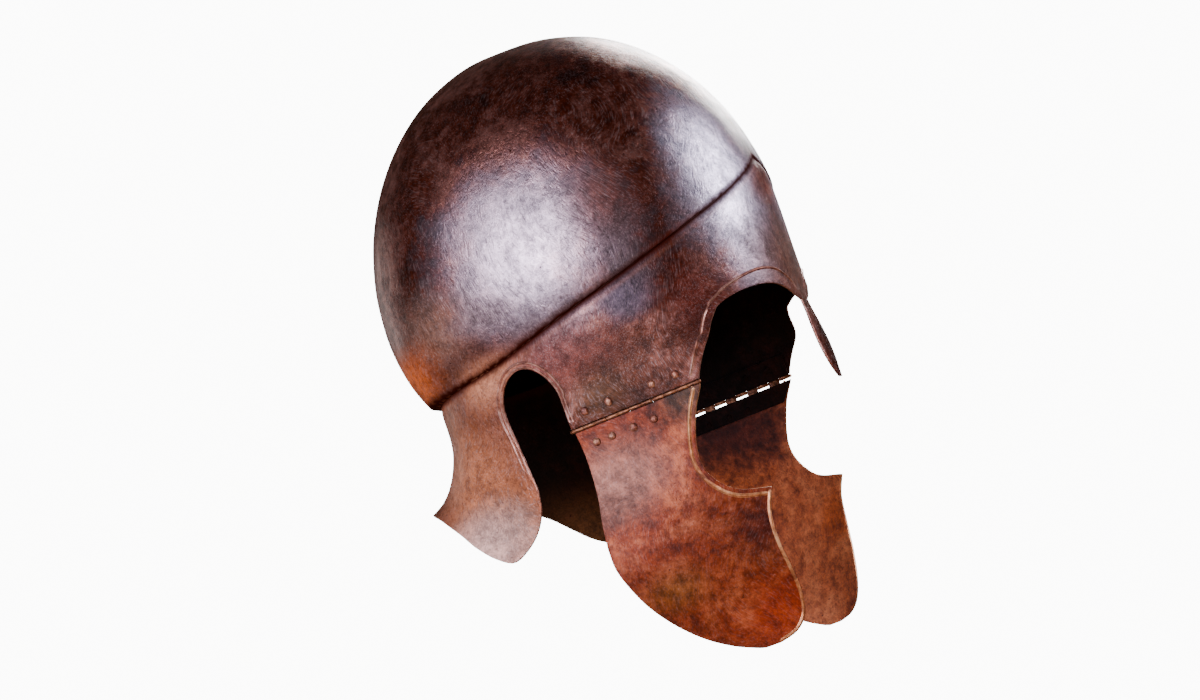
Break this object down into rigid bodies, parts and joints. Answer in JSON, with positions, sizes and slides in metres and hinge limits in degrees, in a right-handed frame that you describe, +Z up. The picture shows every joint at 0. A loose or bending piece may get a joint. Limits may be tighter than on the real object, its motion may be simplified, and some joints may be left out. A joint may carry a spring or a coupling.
{
  "type": "attic helmet",
  "caption": "Bronze helmet with a high stepped dome, a nasal, arched ear openings, a flared neck guard and hinged rounded cheek pieces.",
  "frame": {"origin": "where the head bears: the inner face of the crown, on the middle plane", "axes": "+Z up, the face looks towards -Y, the wearer's right side is at -X"},
  "size_m": [0.1814, 0.2492, 0.3625],
  "materials": {
    "bronze_bowl": "dark patinated hammered bronze, satin",
    "bronze_cheek_piece": "red-brown patinated bronze, satin",
    "bronze_hinge": "worn bronze, satin",
    "bronze_rivet": "worn bronze, satin"
  },
  "bodies": {
    "bowl": {"helmet_bowl": "bronze_bowl", "hinge_leaf_upper_left": "bronze_hinge", "hinge_leaf_upper_right": "bronze_hinge", "hinge_pin_left": "bronze_hinge", "hinge_pin_right": "bronze_hinge", "rivet_upper_left_1": "bronze_rivet", "rivet_upper_left_2": "bronze_rivet", "rivet_upper_left_3": "bronze_rivet", "rivet_upper_left_4": "bronze_rivet", "rivet_upper_right_1": "bronze_rivet", "rivet_upper_right_2": "bronze_rivet", "rivet_upper_right_3": "bronze_rivet", "rivet_upper_right_4": "bronze_rivet"},
    "cheek_right": {"cheek_piece_right": "bronze_cheek_piece", "hinge_leaf_lower_right": "bronze_hinge", "rivet_lower_right_1": "bronze_rivet", "rivet_lower_right_2": "bronze_rivet", "rivet_lower_right_3": "bronze_rivet", "rivet_lower_right_4": "bronze_rivet"},
    "cheek_left": {"cheek_piece_left": "bronze_cheek_piece", "hinge_leaf_lower_left": "bronze_hinge", "rivet_lower_left_1": "bronze_rivet", "rivet_lower_left_2": "bronze_rivet", "rivet_lower_left_3": "bronze_rivet", "rivet_lower_left_4": "bronze_rivet"}
  },
  "joints": [
    {"name": "cheek_hinge_right", "type": "hinge", "parent": "bowl", "child": "cheek_right", "pos_m": [-0.079, -0.0295, -0.2203], "axis": [0, 1, 0], "range_deg": [-18, 130]},
    {"name": "cheek_hinge_left", "type": "hinge", "parent": "bowl", "child": "cheek_left", "pos_m": [0.079, -0.0295, -0.2203], "axis": [0, -1, 0], "range_deg": [-18, 130]}
  ]
}
